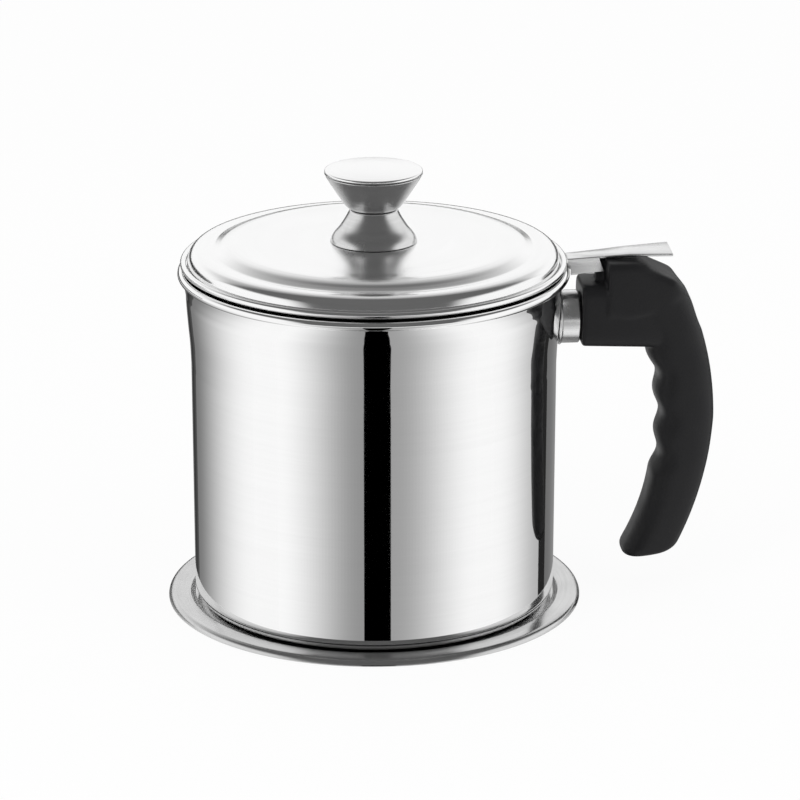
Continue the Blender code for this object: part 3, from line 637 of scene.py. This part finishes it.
# Net: woven wire cloth, cut to a disc that laps the window's edge
def make_net():
    pitch = 0.0015
    wire = 0.00024
    lift = 0.00015
    height = PAN_FLOOR + SHEET + GAP + 0.0004
    count = math.ceil(NET_RADIUS / pitch) * 2
    start = -count * pitch / 2
    strands = []
    for phase in (0, 1):
        bpy.ops.object.select_all(action="DESELECT")
        bpy.ops.mesh.primitive_circle_add(vertices=6, radius=wire / 2, rotation=(0, math.pi / 2, 0))
        strand = settle(bpy.context.object, "strand")
        strand.location = (start, start + pitch * (phase + 0.5), height)
        settle(strand, "strand")
        bpy.ops.object.mode_set(mode="EDIT")
        bpy.ops.mesh.select_all(action="SELECT")
        before = 0.0
        for i in range(1, count * 2 + 1):
            after = lift * math.sin(math.pi * i / 2 + math.pi * phase)
            bpy.ops.mesh.extrude_region_move(TRANSFORM_OT_translate={"value": (pitch / 2, 0, after - before)})
            before = after
        bpy.ops.object.mode_set(mode="OBJECT")
        apply_modifier(strand, "ARRAY", use_relative_offset=False, use_constant_offset=True,
                       constant_offset_displace=(0, pitch * 2, 0), count=count // 2)
        strands.append(strand)
    for strand in list(strands):
        across = strand.copy()
        across.data = strand.data.copy()
        bpy.context.scene.collection.objects.link(across)
        across.rotation_euler = (0, 0, math.pi / 2)
        settle(across, "strand")
        for vert in across.data.vertices:
            vert.co.z = height * 2 - vert.co.z
        strands.append(across)
    bpy.ops.object.select_all(action="DESELECT")
    for strand in strands:
        strand.select_set(True)
    net = strands[0]
    bpy.context.view_layer.objects.active = net
    bpy.ops.object.join()
    bpy.ops.object.mode_set(mode="EDIT")
    bpy.ops.mesh.select_all(action="DESELECT")
    bpy.ops.object.mode_set(mode="OBJECT")
    for vert in net.data.vertices:
        vert.select = Vector((vert.co.x, vert.co.y)).length > NET_RADIUS
    bpy.ops.object.mode_set(mode="EDIT")
    bpy.ops.mesh.delete(type="VERT")
    bpy.ops.mesh.select_all(action="SELECT")
    bpy.ops.mesh.fill_holes(sides=6)
    bpy.ops.mesh.select_all(action="SELECT")
    bpy.ops.mesh.normals_make_consistent(inside=False)
    bpy.ops.object.mode_set(mode="OBJECT")
    settle(net, "strainer_wire_cloth")
    place_piece(net, "strainer_body", "strainer_net", "satin_steel", wire_steel)


# Clamp ring over the net's edge
def make_clamp_ring():
    leg = NET_RADIUS + GAP
    outer = leg + 0.0010
    under = PAN_FLOOR + SHEET + GAP + 0.0008 + GAP
    top = under + 0.0010
    foot = PAN_FLOOR + SHEET + GAP
    fold = 0.0004
    outline = [(WINDOW_RADIUS, under), (WINDOW_RADIUS, top - 0.0002), (WINDOW_RADIUS + 0.0002, top)]
    outline += arc(outer - fold, top - fold, fold, 90, 0)
    outline += [(outer, foot), (leg, foot), (leg, under), (WINDOW_RADIUS, under)]
    ring = turned("strainer_clamp", outline)
    place_piece(ring, "strainer_body", "strainer_ring", "satin_steel", satin_steel)


# Lid: a hemmed skirt, a rounded border and a stepped-up, barely crowned top
def make_lid():
    hem = HEM
    crest = (LID_RADIUS - 0.0062, LID_SEAT + BORDER_HEIGHT)
    foot = (LID_RADIUS, LID_SEAT + hem)
    dome = (crest[0] - 0.0058, LID_TOP + LID_CROWN)
    side = [(BORE_RADIUS, LID_TOP + LID_CROWN), (dome[0] * 0.5, LID_TOP + LID_CROWN * 1.6),
            (dome[0] * 0.8, LID_TOP + LID_CROWN * 1.5)]
    side += along(crest, dome, STEP_SHARES)[::-1] + along(foot, crest, SKIRT_SHARES)[::-1]
    side = curve(side, 6)
    inner = [point for point in side if point[1] > LID_SEAT + hem + SHEET]
    outline = side + arc(LID_RADIUS - hem, LID_SEAT + hem, hem, 0, -180, 10)[1:]
    outline += inwards(inner, SHEET * 0.5, SHEET)[:-1]
    outline += [(BORE_RADIUS, LID_TOP + LID_CROWN - SHEET), (BORE_RADIUS, LID_TOP + LID_CROWN)]
    lid = turned("lid_pressing", outline)
    place_piece(lid, "lid_body", "lid_shell", "polished_steel", border_steel, lid_steel, inner_steel)
    for face in lid.data.polygons:
        reach = Vector((face.center.x, face.center.y)).length
        if face.normal.z < -0.2 and reach < LID_RADIUS - 0.0030:
            face.material_index = 2
        elif reach < crest[0] - 0.0022:
            face.material_index = 1


# Knob: lower cone, upper cone and the disc that closes it
def make_knob():
    foot_top = KNOB_SEAT + FOOT_HEIGHT
    side = curve(along((FOOT_RADIUS, KNOB_SEAT), (NECK_RADIUS, foot_top), FOOT_SHARES), 6)
    outline = [(SHANK_BORE, foot_top)] + side[::-1] + inwards(side[::-1], SHEET)[:-1]
    outline += [(NECK_RADIUS - SHEET, foot_top - SHEET), (SHANK_BORE, foot_top - SHEET)]
    outline += [(SHANK_BORE, foot_top)]
    foot = turned("knob_lower_cone", outline, 192)
    place_piece(foot, "lid_body", "knob_foot", "satin_steel", knob_steel)

    side = curve(along((NECK_RADIUS, CUP_SEAT), (CUP_RADIUS, CAP_SEAT), CUP_SHARES), 6)
    outline = side[::-1] + [(SHANK_BORE, CUP_SEAT), (SHANK_BORE, CUP_SEAT + SHEET)]
    outline += [(NECK_RADIUS - SHEET, CUP_SEAT + SHEET)]
    outline += [(across - SHEET, height) for across, height in side[4:]] + [side[-1]]
    cup = turned("knob_upper_cone", outline, 192)
    place_piece(cup, "lid_body", "knob_cup", "satin_steel", knob_steel)

    low = CAP_SEAT + GAP
    shoulder = CAP_SEAT + CAP_EDGE
    fold = 0.0005
    plug = CUP_RADIUS - SHEET - GAP * 2
    outline = curve([(0, shoulder + CAP_CROWN), (CUP_RADIUS * 0.5, shoulder + CAP_CROWN * 0.75),
                     (CUP_RADIUS - fold * 1.6, shoulder + 0.00005)], 5)[:-1]
    outline += arc(CUP_RADIUS - fold, shoulder - fold, fold, 82, 0, 7)
    outline += [(CUP_RADIUS, low), (plug, low), (plug, CAP_SEAT - SHEET), (plug - SHEET, CAP_SEAT - SHEET)]
    outline += [(plug - SHEET, low), (0, low)]
    cap = turned("knob_top_disc", outline, 192)
    place_piece(cap, "lid_body", "knob_cap", "polished_steel", lid_steel)


# Thumb tab: a strip that widens as it rises, its sides folded down at the root
def make_tab():
    thick = 0.0008
    root = FLANGE_RADIUS + GAP
    top = FLANGE_TOP + FLANGE_BEAD * 2 - 0.0009
    stations = ((-0.0008, 0.0034, 0.0), (0.0092, 0.00407, 0.00077), (0.0186, 0.00475, 0.00155),
                (0.0311, 0.0067, 0.0019))
    bpy.ops.object.select_all(action="DESELECT")
    bpy.ops.mesh.primitive_plane_add(size=1, location=(root, 0, top))
    tab = settle(bpy.context.object, "tab_strip")
    bpy.ops.object.mode_set(mode="EDIT")
    bm = bmesh.from_edit_mesh(tab.data)
    for vert in bm.verts:
        station = stations[1] if vert.co.x > root else stations[0]
        vert.co = (root + station[0], math.copysign(station[1], vert.co.y), top + station[2])
    for edge in bm.edges:
        edge.select = all(vert.co.x > root + 0.005 for vert in edge.verts)
    for vert in bm.verts:
        vert.select = vert.co.x > root + 0.005
    bm.select_flush_mode()
    bmesh.update_edit_mesh(tab.data)
    for before, after in zip(stations[1:], stations[2:]):
        bpy.ops.mesh.extrude_region_move(
            TRANSFORM_OT_translate={"value": (after[0] - before[0], 0, after[2] - before[2])})
        share = after[1] / before[1]
        bpy.ops.transform.resize(value=(1, share, 1), center_override=(root + after[0], 0, top + after[2]))
    bpy.ops.mesh.select_all(action="DESELECT")
    bpy.ops.object.mode_set(mode="OBJECT")
    for side in (-1, 1):
        for edge in tab.data.edges:
            ends = [tab.data.vertices[i].co for i in edge.vertices]
            edge.select = all(end.y * side > 0 and end.x < root + 0.0095 for end in ends)
        bpy.ops.object.mode_set(mode="EDIT")
        bpy.ops.mesh.select_mode(type="EDGE")
        bpy.ops.mesh.extrude_region_move(TRANSFORM_OT_translate={"value": (0, 0, -0.0047)})
        bpy.ops.object.mode_set(mode="OBJECT")
        for vert in tab.data.vertices:
            if vert.select:
                vert.co += Vector((0.0016, 0, 0)) if vert.co.x > root + 0.005 else Vector((0, 0, -0.0005))
    apply_modifier(tab, "SOLIDIFY", thickness=thick, offset=-1, use_even_offset=True)
    apply_modifier(tab, "BEVEL", width=0.00022, segments=3, limit_method="ANGLE",
                   angle_limit=math.radians(40))
    rim = RIM_RADIUS + GAP
    above = top + 0.002
    below = top - 0.0094
    relief = [(0, above), (root, above), (root, FLANGE_UNDER), (rim, FLANGE_UNDER), (rim, below), (0, below)]
    cut(tab, turned("tab_relief", relief))
    bpy.ops.object.shade_smooth_by_angle(angle=math.radians(40))
    place_piece(tab, "strainer_body", "strainer_tab", "satin_steel", tab_steel)


make_tray()
make_pot()
make_ferrule()
make_grip()
make_pan()
make_net()
make_clamp_ring()
make_lid()
make_knob()
make_tab()

# Small fixings keep their CAD shapes
for node in ("handle_stud", "handle_washer", "handle_nut", "knob_insert", "lid_washer", "lid_screw"):
    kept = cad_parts[node].data
    kept.materials.clear()
    kept.materials.append(plain_steel)


# Studio
def glow(name, strength):
    material = bpy.data.materials.new(name)
    material.use_nodes = True
    tree = material.node_tree
    tree.nodes.remove(tree.nodes["Principled BSDF"])
    light = add_node(tree, "ShaderNodeEmission")
    tree.links.new(light.outputs[0], tree.nodes["Material Output"].inputs["Surface"])
    light.inputs["Color"].default_value = (1, 1, 1, 1)
    light.inputs["Strength"].default_value = strength
    return material, tree, light


def make_floor():
    """A pale floor that the camera, metal and glass see nearly white, and that keeps a soft shadow."""
    bpy.ops.object.select_all(action="DESELECT")
    bpy.ops.mesh.primitive_plane_add(size=12, location=(0, 0, -0.0001))
    floor = bpy.context.object
    floor.name = "floor"
    material = bpy.data.materials.new("white_floor")
    material.use_nodes = True
    tree = material.node_tree
    shader = tree.nodes["Principled BSDF"]
    shader.inputs["Base Color"].default_value = (0.92, 0.92, 0.92, 1)
    shader.inputs["Roughness"].default_value = 0.9
    light = add_node(tree, "ShaderNodeEmission")
    light.inputs["Strength"].default_value = 1.0
    path = add_node(tree, "ShaderNodeLightPath")
    seen = sum_of(tree, path.outputs["Is Camera Ray"], path.outputs["Is Glossy Ray"], "MAXIMUM")
    seen = sum_of(tree, seen, path.outputs["Is Transmission Ray"], "MAXIMUM")
    mix = add_node(tree, "ShaderNodeMixShader")
    tree.links.new(sum_of(tree, seen, 0.92, "MULTIPLY"), mix.inputs[0])
    tree.links.new(shader.outputs[0], mix.inputs[1])
    tree.links.new(light.outputs[0], mix.inputs[2])
    tree.links.new(mix.outputs[0], tree.nodes["Material Output"].inputs["Surface"])
    floor.data.materials.append(material)


def make_card(name, start, end, first, last, reach=0.62):
    """A card on the floor that fills one upright band of the pot's reflection.

    The band lies between two angles round the pot, in degrees from the side that faces the
    camera, and each of its upright lines mirrors one straight line on the floor. The card's
    shade runs from first to last.
    """
    mesh = bpy.data.meshes.new(name)
    bm = bmesh.new()
    across = bm.loops.layers.uv.new("across")
    steps = max(2, round(abs(end - start)))
    eye = Vector((CAMERA_PLACE[0], CAMERA_PLACE[1], 0))
    facing = math.atan2(eye.y, eye.x)
    rows = []
    for i in range(steps + 1):
        angle = facing + math.radians(start + (end - start) * i / steps)
        out = Vector((math.cos(angle), math.sin(angle), 0))
        near = out * POT_RADIUS
        sight = (near - eye).normalized()
        way = sight - out * 2 * sight.dot(out)
        lead = out.dot(way) * POT_RADIUS
        gap = math.sqrt(lead ** 2 + TRAY_RADIUS ** 2 - POT_RADIUS ** 2) - lead
        rows.append([bm.verts.new(near + way * gap), bm.verts.new(near + way * reach)])
    for i, (left, right) in enumerate(zip(rows, rows[1:])):
        face = bm.faces.new((left[0], left[1], right[1], right[0]))
        for loop, share in zip(face.loops, (i, i, i + 1, i + 1)):
            loop[across].uv = (share / steps, 0)
    bm.to_mesh(mesh)
    bm.free()
    card = bpy.data.objects.new(name, mesh)
    bpy.context.scene.collection.objects.link(card)
    card.location.z = 0.00005
    material, tree, light = glow(name, 1.0)
    uv = add_node(tree, "ShaderNodeUVMap", uv_map="across")
    parts = add_node(tree, "ShaderNodeSeparateXYZ")
    tree.links.new(uv.outputs[0], parts.inputs[0])
    tree.links.new(ramp(tree, parts.outputs[0], 0.0, 1.0, first, last), light.inputs["Strength"])
    mesh.materials.append(material)
    hide_from_all_but_gloss(card)


def make_back_card():
    """A low dark card behind the object, for the thin dark lines along its far edges."""
    bpy.ops.object.select_all(action="DESELECT")
    bpy.ops.mesh.primitive_plane_add(size=1, location=(0, 0.8, 0.08), rotation=(math.pi / 2, 0, 0))
    card = bpy.context.object
    card.name = "card_back"
    card.scale = (3.0, 0.16, 1)
    card.data.materials.append(glow("card_back", 0.03)[0])
    hide_from_all_but_gloss(card)


def hide_from_all_but_gloss(card):
    card.visible_camera = False
    card.visible_diffuse = False
    card.visible_shadow = False
    card.visible_transmission = False


def make_world():
    """What metal mirrors: soft boxes at both sides, a white wall behind and grey elsewhere."""
    world = bpy.context.scene.world or bpy.data.worlds.new("studio")
    bpy.context.scene.world = world
    world.use_nodes = True
    tree = world.node_tree
    background = tree.nodes["Background"]
    parts = add_node(tree, "ShaderNodeSeparateXYZ")
    tree.links.new(add_node(tree, "ShaderNodeTexCoord").outputs["Generated"], parts.inputs[0])
    across, back, up = parts.outputs
    side = sum_of(tree, across, 0.0, "ABSOLUTE")
    boxes = sum_of(tree, ramp(tree, side, 0.60, 0.85), ramp(tree, up, 0.45, 0.75, 1.0, 0.0), "MULTIPLY")
    wall = sum_of(tree, ramp(tree, back, 0.25, 0.60), ramp(tree, up, 0.36, 0.80, 1.0, 0.35), "MULTIPLY")
    sky = sum_of(tree, sum_of(tree, boxes, wall, "MAXIMUM"), 0.12, "MAXIMUM")
    path = add_node(tree, "ShaderNodeLightPath")
    glossy = path.outputs["Is Glossy Ray"]
    light = sum_of(tree, sum_of(tree, sky, glossy, "MULTIPLY"),
                   sum_of(tree, sum_of(tree, 1.0, glossy, "SUBTRACT"), 0.80, "MULTIPLY"))
    light = sum_of(tree, light, path.outputs["Is Camera Ray"], "MAXIMUM")
    tree.links.new(light, background.inputs["Strength"])
    background.inputs["Color"].default_value = (1, 1, 1, 1)


def make_lamp(name, place, size, power):
    data = bpy.data.lights.new(name, "AREA")
    data.size = size
    data.energy = power
    lamp = bpy.data.objects.new(name, data)
    bpy.context.scene.collection.objects.link(lamp)
    aim = (Vector((0, 0, 0.06)) - Vector(place)).to_track_quat("-Z", "Y")
    lamp.matrix_world = Matrix.Translation(place) @ aim.to_matrix().to_4x4()
    lamp.visible_glossy = False
    return lamp


def make_camera():
    data = bpy.data.cameras.new("photo_camera")
    data.lens = 180.7
    data.sensor_width = 36.0
    data.clip_end = 20.0
    camera = bpy.data.objects.new("photo_camera", data)
    bpy.context.scene.collection.objects.link(camera)
    right = Vector((0.99660, -0.08240, 0.00043))
    up = Vector((0.02528, 0.31082, 0.95013))
    back = Vector((-0.07843, -0.94689, 0.31184))
    turn = Matrix((right, up, back)).transposed().to_4x4()
    camera.matrix_world = Matrix.Translation(CAMERA_PLACE) @ turn
    bpy.context.scene.camera = camera


make_camera()
make_floor()
make_world()
make_card("card_left_edge", -88, -81, 0.24, 0.10)
make_card("card_left_line", -81, -75, 0.03, 0.08)
make_card("card_left_side", -75, -40, 0.20, 0.98)
make_card("card_left_front", -31, -3.1, 1.0, 0.30)
make_card("card_middle", -3.1, 5.1, 0.0, 0.0)
make_card("card_right_front", 5.1, 33, 0.36, 0.98)
make_card("card_right_side", 40, 64, 0.98, 0.48)
make_card("card_right_line", 64, 69.5, 0.02, 0.02)
make_card("card_right_edge", 69.5, 88, 0.16, 0.30)
make_back_card()
make_lamp("key", (-0.9, -0.9, 1.3), 0.8, 6.0)
make_lamp("fill", (1.2, -0.7, 0.9), 1.0, 4.0)
bpy.context.scene.view_settings.view_transform = "Standard"
